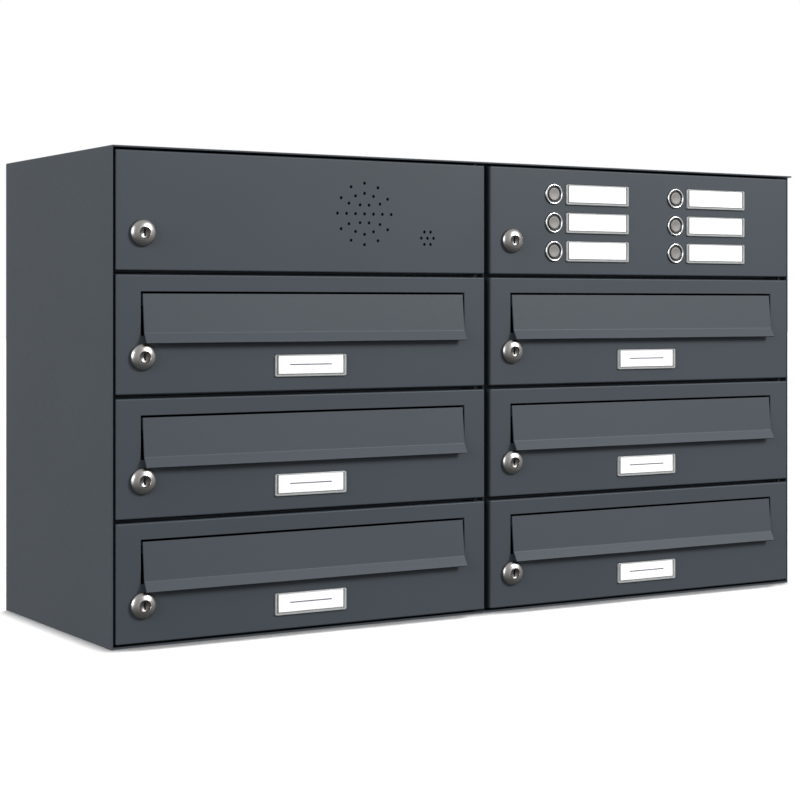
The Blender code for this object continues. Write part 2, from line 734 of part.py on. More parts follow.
def build_boxes(paints):
    plain = box_body_mesh("letterbox_body", cable_entry=False)
    wired = box_body_mesh("service_box_body", cable_entry=True)
    for column in range(2):
        for row in range(ROWS):
            bottom = CELLS_BOTTOM + row * ROW_PITCH + SEAM
            corner = Vector((column_left(column) + BOX_SIDE_GAP, FRONT_Y, bottom))
            if row == ROWS - 1:
                name = ("intercom_box_body", "bell_box_body")[column]
                place(name, wired, paints["powder_coat"], corner)
            else:
                place(f"letterbox_body_{letterbox_number(column, row)}", plain, paints["powder_coat"], corner)


def letterbox_number(column, row):
    """Letterboxes are numbered from the top left, along each row."""
    return (ROWS - 2 - row) * 2 + column + 1


def hang_door(prefix, column, row, mesh, paints):
    """A door on its hinge axis. Returns the axis empty that everything on the door is parented to."""
    hinge = axis_empty(prefix + "_hinge", door_corner(column, row) + HINGE_POINT)
    place(prefix, mesh, paints["powder_coat"], (0, 0, 0), hinge)
    return hinge


def build_letterbox_doors(paints, lock_body, lock_plug):
    door, flap, nameplate = letterbox_door_mesh(), flap_mesh(), nameplate_mesh()
    for column in range(2):
        for row in range(ROWS - 1):
            n = letterbox_number(column, row)
            hinge = hang_door(f"letterbox_door_{n}", column, row, door, paints)
            place(f"inlet_flap_{n}", flap, paints["powder_coat"], FLAP_PIVOT - HINGE_POINT, hinge)
            place(f"lock_body_{n}", lock_body, paints["nickel"], LOCK_POINT - HINGE_POINT, hinge)
            place(f"lock_plug_{n}", lock_plug, paints["steel"], LOCK_POINT - HINGE_POINT, hinge)
            window_place = DOOR_WINDOW_POINT - HINGE_POINT
            place(f"nameplate_{n}", nameplate, paints["clear_plastic"], window_place, hinge)


def build_intercom(paints, lock_body, lock_plug):
    mesh = door_tray("intercom_door", [], [sound_holes()])
    hinge = hang_door("intercom_door", 0, ROWS - 1, mesh, paints)
    place("intercom_lock_body", lock_body, paints["nickel"], LOCK_POINT - HINGE_POINT, hinge)
    place("intercom_lock_plug", lock_plug, paints["steel"], LOCK_POINT - HINGE_POINT, hinge)
    place("speaker_unit", speaker_unit_mesh(), paints["black_plastic"], (0, 0, 0), hinge)


def build_bell_panel(paints, lock_body, lock_plug):
    hinge = hang_door("bell_door", 1, ROWS - 1, bell_door_mesh(), paints)
    place("bell_lock_body", lock_body, paints["nickel"], LOCK_POINT - HINGE_POINT, hinge)
    place("bell_lock_plug", lock_plug, paints["steel"], LOCK_POINT - HINGE_POINT, hinge)
    bezels = moved(bell_bezel_carrier_mesh(), -HINGE_POINT)
    place("bell_bezel_carrier", bezels, paints["chrome"], (0, 0, 0), hinge)
    windows = moved(bell_nameplate_carrier_mesh(), -HINGE_POINT)
    place("bell_nameplate_carrier", windows, paints["clear_plastic"], (0, 0, 0), hinge)
    button = bell_button_mesh()
    for n, (x, z) in enumerate(bell_points(), start=1):
        place(f"bell_button_{n}", button, paints["steel"], Vector((x, 0, z)) - HINGE_POINT, hinge)


def main():
    for obj in list(bpy.data.objects):
        bpy.data.objects.remove(obj)
    paints = {
        "powder_coat": material("powder_coat", (0.075, 0.082, 0.095), 0.5),
        "black_steel": material("black_steel", (0.02, 0.02, 0.022), 0.4, 0.6),
        "nickel": material("nickel", (0.62, 0.61, 0.59), 0.28, 1.0),
        "steel": material("steel", (0.45, 0.44, 0.42), 0.4, 1.0),
        "chrome": material("chrome", (0.8, 0.8, 0.82), 0.12, 1.0),
        "clear_plastic": material("clear_plastic", (0.75, 0.77, 0.78), 0.2, alpha=0.6),
        "black_plastic": material("black_plastic", (0.02, 0.02, 0.02), 0.5),
        "rubber": material("rubber", (0.015, 0.015, 0.015), 0.7),
    }
    build_housing(paints)
    build_boxes(paints)
    lock_body, lock_plug = lock_body_mesh(), lock_plug_mesh()
    build_letterbox_doors(paints, lock_body, lock_plug)
    build_intercom(paints, lock_body, lock_plug)
    build_bell_panel(paints, lock_body, lock_plug)


main()
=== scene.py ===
"""Looks of the cluster mailbox unit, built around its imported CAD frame.

A visible CAD node is either replaced by a finer piece of the same size or kept with a better
material. X runs to the right, Y from the front into the unit and Z up, in metres.
"""

import json
import math

import bmesh
import bpy
from mathutils import Matrix, Vector


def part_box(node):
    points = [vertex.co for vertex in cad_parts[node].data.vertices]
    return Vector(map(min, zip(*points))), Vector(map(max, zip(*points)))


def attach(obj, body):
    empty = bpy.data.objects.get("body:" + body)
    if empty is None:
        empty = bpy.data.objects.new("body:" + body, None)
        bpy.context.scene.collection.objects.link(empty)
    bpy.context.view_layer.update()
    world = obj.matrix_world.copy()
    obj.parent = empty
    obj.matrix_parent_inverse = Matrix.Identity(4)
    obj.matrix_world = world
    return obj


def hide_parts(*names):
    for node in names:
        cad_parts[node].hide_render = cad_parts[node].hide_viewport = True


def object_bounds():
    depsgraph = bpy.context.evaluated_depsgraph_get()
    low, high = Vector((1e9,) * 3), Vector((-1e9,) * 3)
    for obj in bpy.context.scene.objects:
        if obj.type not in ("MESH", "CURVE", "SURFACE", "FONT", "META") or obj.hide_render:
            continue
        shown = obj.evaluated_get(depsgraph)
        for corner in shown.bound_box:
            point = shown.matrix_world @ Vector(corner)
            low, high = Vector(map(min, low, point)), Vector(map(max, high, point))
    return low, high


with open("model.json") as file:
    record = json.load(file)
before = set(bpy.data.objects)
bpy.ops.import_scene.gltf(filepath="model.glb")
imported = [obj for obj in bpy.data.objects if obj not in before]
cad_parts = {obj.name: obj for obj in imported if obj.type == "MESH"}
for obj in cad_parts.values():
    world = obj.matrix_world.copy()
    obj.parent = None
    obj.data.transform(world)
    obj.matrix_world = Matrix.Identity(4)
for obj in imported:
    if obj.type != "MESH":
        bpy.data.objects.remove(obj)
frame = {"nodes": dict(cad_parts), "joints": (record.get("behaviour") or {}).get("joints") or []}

CAD_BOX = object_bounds()
MM = 0.001
LETTERBOXES = range(1, 7)
BUTTONS = range(1, 7)
HATCHES = ("intercom", "bell")

# Camera and floor.
CAMERA_YAW = math.radians(32.8)
CAMERA_DISTANCE = 1.944
CAMERA_HEIGHT = 0.303
CAMERA_LENS = 88.8
CAMERA_SHIFT = (-0.1095, -0.1185)
FLOOR_SIZE = 30.0

# Studio light: radiance of the dome by direction, and each lamp's place, size and power.
DOME_ZENITH = 0.75
DOME_HORIZON = 0.55
DOME_NADIR = 0.12
KEY = ((2.3, -3.2, 2.2), (1.2, 1.2), 180)
FILL = ((-4.5, -1.3, 1.5), (3.0, 2.6), 185)
FLOOR_SUN_STRENGTH = 3.2
FLOOR_SUN_ANGLE = math.radians(3)
FLOOR_SUN_TILT = (math.radians(-1.5), math.radians(1.5), 0)

# Sheet metal.
SKIN = 1.5 * MM
BEND_RADIUS = 1.3 * MM
COAT_EDGE = 0.25 * MM
REACH = 5 * MM
PLANE_TOLERANCE = 0.01 * MM
CAD_WELD = 0.001 * MM
BEND_WELD = 0.002 * MM
CORNER_ANGLE = math.radians(50)
SHARP_ANGLE = math.radians(35)

# Flap profile, measured from its top edge on the door's face.
FLAP_BEND_DROP = 35 * MM
FLAP_BEND_PROUD = 3.5 * MM
FLAP_LIP_DROP = 8.7 * MM
FLAP_LIP_PROUD = 9 * MM
FLAP_TOP_ABOVE_PIVOT = 2.2 * MM
FLAP_FACE_BEFORE_PIVOT = 3.5 * MM
FLAP_PIN_REACH = 6.8 * MM
FLAP_PIN_RADIUS = 1.25 * MM
FLAP_BEND_RADIUS = 2.5 * MM
FLAP_BEND_STEPS = 6
FLAP_CHEEK = (10.5 * MM, 5.4 * MM)
FLAP_CHEEK_SETBACK = 0.3 * MM
FLAP_PIN_CHAMFER = 0.3 * MM

# Lock.
DOME_RADIUS = (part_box("lock_body_1")[1].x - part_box("lock_body_1")[0].x) / 2
DOME_RIM = 1.2 * MM
DOME_HEIGHT = 6.6 * MM
BORE_RADIUS = 5.4 * MM
PLUG_RADIUS = 5 * MM
PLUG_PROUD = 5.4 * MM
PLUG_DISH = 1.3 * MM
BARREL_RADIUS = 8 * MM
BARREL_END = 14.6 * MM
NUT_FRONT = 1.7 * MM
NUT_BACK = 5.7 * MM
NUT_ACROSS = 21 * MM
CAM_FRONT = 15.4 * MM
CAM_SHEET = 2 * MM
CAM_WIDTH = 9 * MM
CAM_REACH = 21 * MM
KEYWAY = (1.8 * MM, 6.6 * MM, 4 * MM)
CAM_SCREW_RADIUS = 3.4 * MM
CAM_SCREW_HEAD = 0.4 * MM

# Name windows.
WINDOW_PROUD = 2 * MM
WINDOW_LEDGE_FRONT = 1.9 * MM
WINDOW_LEDGE = 3.5 * MM
WINDOW_LEDGE_SHEET = 1.5 * MM
WINDOW_LEDGE_CORNER = 2 * MM
WINDOW_EDGE = 0.6 * MM
WINDOW_OPENING_CORNER = 0.5 * MM
WINDOW_CORNER = 1.6 * MM
WINDOW_LEFT_WALL = 1 * MM
WINDOW_RIGHT_WALL = 1.7 * MM
WINDOW_BOTTOM_WALL = 1.8 * MM
WINDOW_TOP_WALL = 0.5 * MM
COVER_SHEET = 0.4 * MM
COVER_SETBACK = 0.3 * MM
CARD_SHEET = 0.3 * MM
CARD_FRONT = -0.9 * MM
CARD_LEFT_GAP = 2.4 * MM
CARD_RIGHT_GAP = 1.3 * MM
CARD_BOTTOM_GAP = 0.9 * MM
CARD_TOP_GAP = 0.1 * MM
CARD_CORNER = 0.4 * MM
RULED_LINE = (44 * MM, 1.2 * MM)
RULED_LINE_THICKNESS = 0.05 * MM
BELL_WINDOW = (78 * MM, 20.5 * MM)
BELL_WINDOW_OFFSET = 54.2 * MM

# Bell buttons.
BEZEL_RADIUS = 10.25 * MM
BEZEL_PROUD = 2 * MM
BEZEL_SEAT_RADIUS = 8.5 * MM
BEZEL_SEAT_Y = -0.2 * MM
BEZEL_BORE_RADIUS = 6.7 * MM
CARRIER_FRONT = 1.9 * MM
CARRIER_BACK = 3.9 * MM
CAP_RADIUS = 6.4 * MM
CAP_PROUD = 1.5 * MM
CAP_EDGE = 0.5 * MM
COLLAR_SHEET = 1.5 * MM
STEM_RADIUS = 3 * MM
FITTING_GAP = 0.02 * MM


# ---------------------------------------------------------------- meshes


def as_mesh(bm, name):
    mesh = bpy.data.meshes.new(name)
    bm.to_mesh(mesh)
    bm.free()
    return mesh


def as_bmesh(mesh):
    bm = bmesh.new()
    bm.from_mesh(mesh)
    return bm


def block(low, high):
    """A box between two corners."""
    bm = bmesh.new()
    low, high = Vector(low), Vector(high)
    place = Matrix.Translation((low + high) / 2) @ Matrix.Diagonal((*(high - low), 1))
    bmesh.ops.create_cube(bm, size=1, matrix=place)
    return bm


def round_edges(bm, width, steps, picked):
    """Rounds the edges for which picked(edge) is true."""
    edges = [edge for edge in bm.edges if picked(edge)]
    bmesh.ops.bevel(bm, geom=edges, offset=width, segments=steps, profile=0.5, affect="EDGES")
    return bm


def is_corner(edge):
    return len(edge.link_faces) == 2 and edge.calc_face_angle(0) > CORNER_ANGLE


def turned(profile, sides=64, closed=False):
    """A solid of revolution about Y through (radius, y) points; closed joins its last point to its first."""
    bm = bmesh.new()
    rings = []
    for radius, y in profile:
        turns = [2 * math.pi * i / sides for i in range(sides)]
        rings.append([bm.verts.new((radius * math.cos(t), y, radius * math.sin(t))) for t in turns])
    pairs = list(zip(rings, rings[1:]))
    if closed:
        pairs.append((rings[-1], rings[0]))
    else:
        bm.faces.new(rings[0])
        bm.faces.new(rings[-1])
    for first, second in pairs:
        for i in range(sides):
            j = (i + 1) % sides
            bm.faces.new((first[i], first[j], second[j], second[i]))
    bmesh.ops.recalc_face_normals(bm, faces=bm.faces)
    return bm


def arc(centre, radius, start, end, steps):
    """Points of an arc in a plane, with angles in degrees."""
    points = []
    for i in range(steps + 1):
        angle = math.radians(start + (end - start) * i / steps)
        points.append((centre[0] + radius * math.cos(angle), centre[1] + radius * math.sin(angle)))
    return points


def rounded_outline(width, height, radius, steps=6):
    """(x, z) points of a rectangle about the origin with round corners."""
    x, z = width / 2 - radius, height / 2 - radius
    corners = ((x, z, 0), (-x, z, 90), (-x, -z, 180), (x, -z, 270))
    return [point for cx, cz, turn in corners for point in arc((cx, cz), radius, turn, turn + 90, steps)]


def hexagon(radius):
    """(x, z) points of a hexagon about the origin."""
    turns = [math.pi / 3 * i for i in range(6)]
    return [(radius * math.cos(turn), radius * math.sin(turn)) for turn in turns]


def plate(outline, front, back, edge=0.0):
    """A flat piece with an (x, z) outline between two depths, its front and back edges rounded."""
    bm = bmesh.new()
    face = bm.faces.new([bm.verts.new((x, front, z)) for x, z in outline])
    grown = bmesh.ops.extrude_face_region(bm, geom=[face])
    verts = [item for item in grown["geom"] if isinstance(item, bmesh.types.BMVert)]
    bmesh.ops.translate(bm, vec=(0, back - front, 0), verts=verts)
    bmesh.ops.recalc_face_normals(bm, faces=bm.faces)
    if edge:
        round_edges(bm, edge, 3, is_corner)
    return bm


def boolean(base, *steps):
    """base after a row of (operation, bmesh) steps."""
    name = "boolean_step"
    helpers = []
    for bm in (base, *(tool for _, tool in steps)):
        helper = bpy.data.objects.new(name, as_mesh(bm, name))
        bpy.context.scene.collection.objects.link(helper)
        helpers.append(helper)
    for (operation, _), tool in zip(steps, helpers[1:]):
        modifier = helpers[0].modifiers.new(operation, "BOOLEAN")
        modifier.operation = operation
        modifier.solver = "EXACT"
        modifier.object = tool
    result = bmesh.new()
    result.from_object(helpers[0], bpy.context.evaluated_depsgraph_get())
    for helper in helpers:
        data = helper.data
        bpy.data.objects.remove(helper)
        bpy.data.meshes.remove(data)
    return result


def joined(*parts):
    """One bmesh that holds every part as it is."""
    bm = bmesh.new()
    for part in parts:
        mesh = as_mesh(part, "part")
        bm.from_mesh(mesh)
        bpy.data.meshes.remove(mesh)
    return bm


def shifted(bm, offset):
    bmesh.ops.translate(bm, vec=offset, verts=bm.verts)
    return bm


# ---------------------------------------------------------------- materials


def add(tree, kind, inputs=None, **settings):
    """A shader node. An input is a plain value, or another node's output to link from."""
    node = tree.nodes.new("ShaderNode" + kind)
    for key, value in settings.items():
        setattr(node, key, value)
    for key, value in (inputs or {}).items():
        if isinstance(value, bpy.types.NodeSocket):
            tree.links.new(value, node.inputs[key])
        else:
            node.inputs[key].default_value = value
    return node


def new_material(name, **uniform):
    """A material with its Principled shader's uniform sockets set, such as metallic=1."""
    made = bpy.data.materials.new(name)
    made.use_nodes = True
    shader = made.node_tree.nodes["Principled BSDF"]
    for key, value in uniform.items():
        shader.inputs[key.replace("_", " ")].default_value = value
    return made, made.node_tree, shader


def object_point(tree, stretch=(1, 1, 1)):
    """The surface point in the piece's own frame, stretched along its axes."""
    coords = add(tree, "TexCoord")
    return add(tree, "Mapping", {"Vector": coords.outputs["Object"], "Scale": stretch}).outputs["Vector"]


def noise(tree, point, scale, detail=3.0, roughness=0.5):
    inputs = {"Vector": point, "Scale": scale, "Detail": detail, "Roughness": roughness}
    return add(tree, "TexNoise", inputs).outputs["Fac"]


def ranged(tree, value, low, high, source=(0.3, 0.7)):
    """A number that runs from low to high as value crosses its source range."""
    inputs = {"Value": value, "From Min": source[0], "From Max": source[1], "To Min": low, "To Max": high}
    return add(tree, "MapRange", inputs).outputs["Result"]


def mixed(tree, value, first, second):
    """A colour between first and second."""
    blend = tree.nodes.new("ShaderNodeMix")
    blend.data_type = "RGBA"
    tree.links.new(ranged(tree, value, 0, 1), blend.inputs["Factor"])
    low, high = [socket for socket in blend.inputs if socket.type == "RGBA"]
    low.default_value = (*first, 1)
    high.default_value = (*second, 1)
    return next(socket for socket in blend.outputs if socket.type == "RGBA")


def bump(tree, shader, height, distance):
    node = add(tree, "Bump", {"Height": height, "Distance": distance, "Strength": 1.0})
    tree.links.new(node.outputs["Normal"], shader.inputs["Normal"])


def powder_coat():
    """Anthracite powder coat: a fine satin orange peel with slow changes of tone and gloss."""
    made, tree, shader = new_material("powder_coat", IOR=1.45, Specular_IOR_Level=0.28)
    point = object_point(tree)
    slow = noise(tree, point, 5, 2)
    peel = noise(tree, point, 620, 2, 0.6)
    tone = mixed(tree, slow, (0.0370, 0.0455, 0.0555), (0.0410, 0.0500, 0.0605))
    tree.links.new(tone, shader.inputs["Base Color"])
    tree.links.new(ranged(tree, peel, 0.44, 0.56), shader.inputs["Roughness"])
    bump(tree, shader, peel, 0.035 * MM)
    return made


def brushed(name, dark, light, roughness, stretch):
    """Metal with fine grinding lines along the axis that stretch leaves short."""
    made, tree, shader = new_material(name, Metallic=1.0)
    lines = noise(tree, object_point(tree, stretch), 1.0, 4, 0.65)
    tree.links.new(mixed(tree, lines, dark, light), shader.inputs["Base Color"])
    tree.links.new(ranged(tree, lines, *roughness), shader.inputs["Roughness"])
    bump(tree, shader, lines, 0.012 * MM)
    return made


def blasted_steel():
    """Bead-blasted stainless of the button caps."""
    made, tree, shader = new_material("blasted_steel", Metallic=0.85)
    grain = noise(tree, object_point(tree), 1500, 4, 0.7)
    tree.links.new(mixed(tree, grain, (0.07, 0.068, 0.066), (0.30, 0.29, 0.28)), shader.inputs["Base Color"])
    tree.links.new(ranged(tree, grain, 0.45, 0.62), shader.inputs["Roughness"])
    bump(tree, shader, grain, 0.05 * MM)
    return made


def clear_plastic():
    """Clear acrylic sheet with faint moulding ripple, thin enough to show what is behind it unbent."""
    made, tree, shader = new_material("clear_plastic", IOR=1.49, Alpha=0.08)
    ripple = noise(tree, object_point(tree), 160, 2)
    tree.links.new(mixed(tree, ripple, (0.93, 0.95, 0.95), (0.97, 0.98, 0.98)), shader.inputs["Base Color"])
    tree.links.new(ranged(tree, ripple, 0.03, 0.09), shader.inputs["Roughness"])
    bump(tree, shader, ripple, 0.01 * MM)
    return made


def grained(name, dark, light, roughness, scale, depth):
    """A matt surface with an even grain: moulded plastic, rubber or card."""
    made, tree, shader = new_material(name)
    grain = noise(tree, object_point(tree), scale, 3, 0.6)
    tree.links.new(mixed(tree, grain, dark, light), shader.inputs["Base Color"])
    tree.links.new(ranged(tree, grain, *roughness), shader.inputs["Roughness"])
    bump(tree, shader, grain, depth)
    return made


COAT = powder_coat()
NICKEL = brushed("satin_nickel", (0.29, 0.285, 0.28), (0.44, 0.43, 0.42), (0.27, 0.37), (150, 1500, 1500))
PLUG_STEEL = brushed("plug_steel", (0.09, 0.087, 0.084), (0.22, 0.21, 0.205), (0.26, 0.38), (900, 900, 900))
STEEL = brushed("brushed_steel", (0.36, 0.355, 0.35), (0.60, 0.59, 0.58), (0.28, 0.42), (1800, 1800, 140))
CHROME = brushed("bright_chrome", (0.82, 0.83, 0.84), (0.92, 0.93, 0.94), (0.20, 0.28), (300, 300, 300))
CAP_STEEL = blasted_steel()
CLEAR = clear_plastic()
FROSTED = grained("frosted_plastic", (0.31, 0.32, 0.32), (0.39, 0.40, 0.40), (0.16, 0.26), 300, 0.01 * MM)
ROD = brushed("black_steel", (0.012, 0.012, 0.013), (0.030, 0.030, 0.032), (0.35, 0.5), (1800, 1800, 140))
BLACK = grained("black_plastic", (0.012, 0.012, 0.013), (0.022, 0.022, 0.024), (0.45, 0.6), 900, 0.04 * MM)
RUBBER = grained("rubber", (0.010, 0.010, 0.010), (0.020, 0.020, 0.019), (0.65, 0.8), 700, 0.05 * MM)
CARD = grained("card", (0.93, 0.93, 0.93), (0.96, 0.96, 0.96), (0.6, 0.75), 1200, 0.01 * MM)
INK = grained("ink", (0.020, 0.028, 0.060), (0.035, 0.045, 0.085), (0.45, 0.6), 1500, 0.005 * MM)
FLOOR = grained("floor", (0.93, 0.93, 0.93), (0.95, 0.95, 0.95), (0.7, 0.8), 3, 0.1 * MM)


# ---------------------------------------------------------------- pieces


def add_piece(name, mesh, material, body, place=(0, 0, 0), stands_for=()):
    """A piece that rides on a CAD body. Pieces of one kind share their mesh."""
    if not mesh.materials:
        mesh.materials.append(material)
    piece = bpy.data.objects.new(name, mesh)
    bpy.context.scene.collection.objects.link(piece)
    piece.location = place
    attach(piece, body)
    if stands_for:
        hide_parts(*stands_for)
    return piece


def smooth(bm, name):
    """A finished mesh that is smooth except at sharp edges."""
    mesh = as_mesh(bm, name)
    mesh.shade_smooth()
    mesh.set_sharp_from_angle(angle=SHARP_ANGLE)
    return mesh


def even_normals(piece):
    """Keeps the large flat faces flat beside their rounded edges."""
    weighted = piece.modifiers.new("even_normals", "WEIGHTED_NORMAL")
    weighted.keep_sharp = True
    weighted.weight = 100


def corner_of(node):
    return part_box(node)[0]


def middle_of(node):
    low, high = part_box(node)
    return (low + high) / 2


def joint_point(name):
    return Vector(next(joint["pos_m"] for joint in frame["joints"] if joint["name"] == name))


# ---------------------------------------------------------------- housing and doors


def softened(node, rounded_corner, origin=(0, 0, 0)):
    """A copy of a sheet-metal CAD node whose outer bends are round.

    rounded_corner says which edges of the node's box are bends. The holes get a thin rounded edge.
    """
    low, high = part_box(node)
    copy = as_bmesh(frame["nodes"][node].data)
    bmesh.ops.remove_doubles(copy, verts=copy.verts, dist=CAD_WELD)
    bmesh.ops.dissolve_limit(copy, angle_limit=math.radians(1), verts=copy.verts, edges=copy.edges)
    envelope = block(low, high + Vector((0, REACH, 0)))
    round_edges(envelope, BEND_RADIUS, 4, rounded_corner)
    bm = boolean(copy, ("INTERSECT", envelope))
    bmesh.ops.remove_doubles(bm, verts=bm.verts, dist=BEND_WELD)
    bmesh.ops.dissolve_limit(bm, angle_limit=math.radians(0.5), verts=bm.verts, edges=bm.edges)
    face_y = low.y + PLANE_TOLERANCE
    round_edges(bm, COAT_EDGE, 2, lambda edge: is_corner(edge) and all(v.co.y < face_y for v in edge.verts))
    return shifted(bm, -Vector(origin))


def not_at_rear(node):
    """Picks every box edge but those at the rear."""
    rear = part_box(node)[1].y
    return lambda edge: not all(v.co.y > rear for v in edge.verts)


def build_housing():
    low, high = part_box("housing_hood")

    def at_bend(edge):
        return all(v.co.z > high.z - MM and v.co.x < low.x + MM for v in edge.verts)

    hood = smooth(softened("housing_hood", at_bend), "hood")
    even_normals(add_piece("hood", hood, COAT, "housing", stands_for=["housing_hood"]))


def build_doors():
    door_node = "letterbox_door_1"
    corner = corner_of(door_node)
    door = smooth(softened(door_node, not_at_rear(door_node), corner), "door")
    for n in LETTERBOXES:
        node = f"letterbox_door_{n}"
        place = corner_of(node)
        even_normals(add_piece(f"door_sheet_{n}", door, COAT, f"door_{n}", place, [node]))
    for kind in HATCHES:
        node = f"{kind}_door"
        corner = corner_of(node)
        name = f"{kind}_hatch_sheet"
        hatch = smooth(softened(node, not_at_rear(node), corner), name)
        even_normals(add_piece(name, hatch, COAT, f"{kind}_hatch", corner, [node]))


# ---------------------------------------------------------------- flap


def filleted(points, radius, steps):
    """A path whose inner corners are arcs of a radius. Points are 2D vectors."""
    path = [points[0]]
    for before, corner, after in zip(points, points[1:], points[2:]):
        to_before, to_after = (before - corner).normalized(), (after - corner).normalized()
        half_angle = to_before.angle(to_after) / 2
        reach = radius / math.tan(half_angle)
        centre = corner + (to_before + to_after).normalized() * radius / math.sin(half_angle)
        start, end = corner + to_before * reach - centre, corner + to_after * reach - centre
        first = math.atan2(start.y, start.x)
        turn = math.remainder(math.atan2(end.y, end.x) - first, 2 * math.pi)
        for i in range(steps + 1):
            angle = first + turn * i / steps
            path.append(centre + Vector((math.cos(angle), math.sin(angle))) * radius)
    path.append(points[-1])
    return path


def thick_outline(path, thickness):
    """A closed outline: the path, then the same path moved sideways by the thickness and turned back."""
    moved = []
    for i, point in enumerate(path):
        along = (path[min(i + 1, len(path) - 1)] - path[max(i - 1, 0)]).normalized()
        moved.append(point + Vector((-along.y, along.x)) * thickness)
    return path + moved[::-1]


def flap_mesh(half):
    """Bent flap with a lip, a cheek at each end and pivot pins, about its pivot."""
    top = Vector((-FLAP_FACE_BEFORE_PIVOT, FLAP_TOP_ABOVE_PIVOT))
    bend = top + Vector((-FLAP_BEND_PROUD, -FLAP_BEND_DROP))
    lip = top + Vector((-FLAP_LIP_PROUD, -FLAP_BEND_DROP - FLAP_LIP_DROP))
    outline = thick_outline(filleted([top, bend, lip], FLAP_BEND_RADIUS, FLAP_BEND_STEPS), SKIN)
    sheet = bmesh.new()
    face = sheet.faces.new([sheet.verts.new((-half, y, z)) for y, z in outline])
    grown = bmesh.ops.extrude_face_region(sheet, geom=[face])
    verts = [item for item in grown["geom"] if isinstance(item, bmesh.types.BMVert)]
    bmesh.ops.translate(sheet, vec=(2 * half, 0, 0), verts=verts)
    bmesh.ops.recalc_face_normals(sheet, faces=sheet.faces)
    round_edges(sheet, COAT_EDGE, 2, is_corner)
    tall, deep = FLAP_CHEEK
    parts = [sheet]
    for side in (-1, 1):
        ends = sorted((side * half, side * (half - SKIN)))
        low = (ends[0], -deep / 2 + FLAP_CHEEK_SETBACK, FLAP_TOP_ABOVE_PIVOT - tall)
        high = (ends[1], deep / 2 + FLAP_CHEEK_SETBACK, FLAP_TOP_ABOVE_PIVOT - FLAP_CHEEK_SETBACK)
        parts.append(round_edges(block(low, high), COAT_EDGE, 2, is_corner))
        pin = [(FLAP_PIN_RADIUS, 0), (FLAP_PIN_RADIUS, SKIN + FLAP_PIN_REACH - FLAP_PIN_CHAMFER)]
        pin.append((FLAP_PIN_RADIUS - FLAP_PIN_CHAMFER, SKIN + FLAP_PIN_REACH))
        bar = turned(pin, 24)
        turn = Matrix.Rotation(-side * math.pi / 2, 4, "Z")
        place = Matrix.Translation((side * (half - SKIN), 0, 0)) @ turn
        bmesh.ops.transform(bar, matrix=place, verts=bar.verts)
        parts.append(bar)
    return smooth(joined(*parts), "flap")


def build_flaps():
    low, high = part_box("inlet_flap_1")
    flap = flap_mesh((high.x - low.x) / 2 - FLAP_PIN_REACH)
    for n in LETTERBOXES:
        place = joint_point(f"flap_{n}_hinge")
        name, node = f"flap_{n}_sheet", f"inlet_flap_{n}"
        even_normals(add_piece(name, flap, COAT, f"flap_{n}", place, [node]))


# ---------------------------------------------------------------- locks


def lock_head_mesh():
    """Domed head with a rolled rim and the barrel behind it, about the lock's axis at the door's face."""
    profile = [(BARREL_RADIUS, 0.3 * MM), (DOME_RADIUS - 0.3 * MM, -0.3 * MM)]
    profile += [(DOME_RADIUS, -0.6 * MM), (DOME_RADIUS, -DOME_RIM)]
    steps = 18
    inner = math.acos(BORE_RADIUS / DOME_RADIUS)
    for i in range(1, steps + 1):
        angle = inner * i / steps
        rise = (DOME_HEIGHT - DOME_RIM) * math.sin(angle)
        profile.append((DOME_RADIUS * math.cos(angle), -DOME_RIM - rise))
    crown = profile[-1][1]
    profile += [(BORE_RADIUS - 0.15 * MM, crown + 0.15 * MM), (BORE_RADIUS - 0.15 * MM, BARREL_END)]
    profile += [(BARREL_RADIUS - 0.4 * MM, BARREL_END), (BARREL_RADIUS, BARREL_END - 0.4 * MM)]
    return smooth(turned(profile, 96, closed=True), "lock_head")


def lock_nut_mesh():
    """Hexagonal nut that clamps the lock to the door."""
    nut = plate(hexagon(NUT_ACROSS / math.sqrt(3)), NUT_FRONT, NUT_BACK, 0.4 * MM)
    bore = turned([(BARREL_RADIUS + 0.05 * MM, 0), (BARREL_RADIUS + 0.05 * MM, 2 * NUT_BACK)], 48)
    return smooth(boolean(nut, ("DIFFERENCE", bore)), "lock_nut")


def lock_plug_mesh():
    """Turning plug with a chamfered face and a keyway, the cam and its screw."""
    edge = 0.35 * MM
    profile = [(0.1 * MM, -PLUG_PROUD + PLUG_DISH), (PLUG_RADIUS - 2 * edge, -PLUG_PROUD + 0.15 * MM)]
    profile += [(PLUG_RADIUS - edge, -PLUG_PROUD), (PLUG_RADIUS, -PLUG_PROUD + edge)]
    profile.append((PLUG_RADIUS, CAM_FRONT))
    plug = turned(profile, 64)
    width, height, depth = KEYWAY
    slot = block((-width / 2, -2 * PLUG_PROUD, -height / 2), (width / 2, depth - PLUG_PROUD, height / 2))
    ward = block((-width, -2 * PLUG_PROUD, -0.4 * MM), (0, depth - PLUG_PROUD, 0.5 * MM))
    plug = boolean(plug, ("DIFFERENCE", slot), ("DIFFERENCE", ward))
    half = CAM_WIDTH / 2
    outline = arc((0, 0), half, 0, 180, 16) + arc((0, -CAM_REACH + half), half, 180, 360, 16)
    cam = plate(outline, CAM_FRONT, CAM_FRONT + CAM_SHEET, 0.25 * MM)
    back = CAM_FRONT + CAM_SHEET
    screw = plate(hexagon(CAM_SCREW_RADIUS), back, back + CAM_SCREW_HEAD, 0.1 * MM)
    return smooth(joined(plug, cam, screw), "lock_plug")


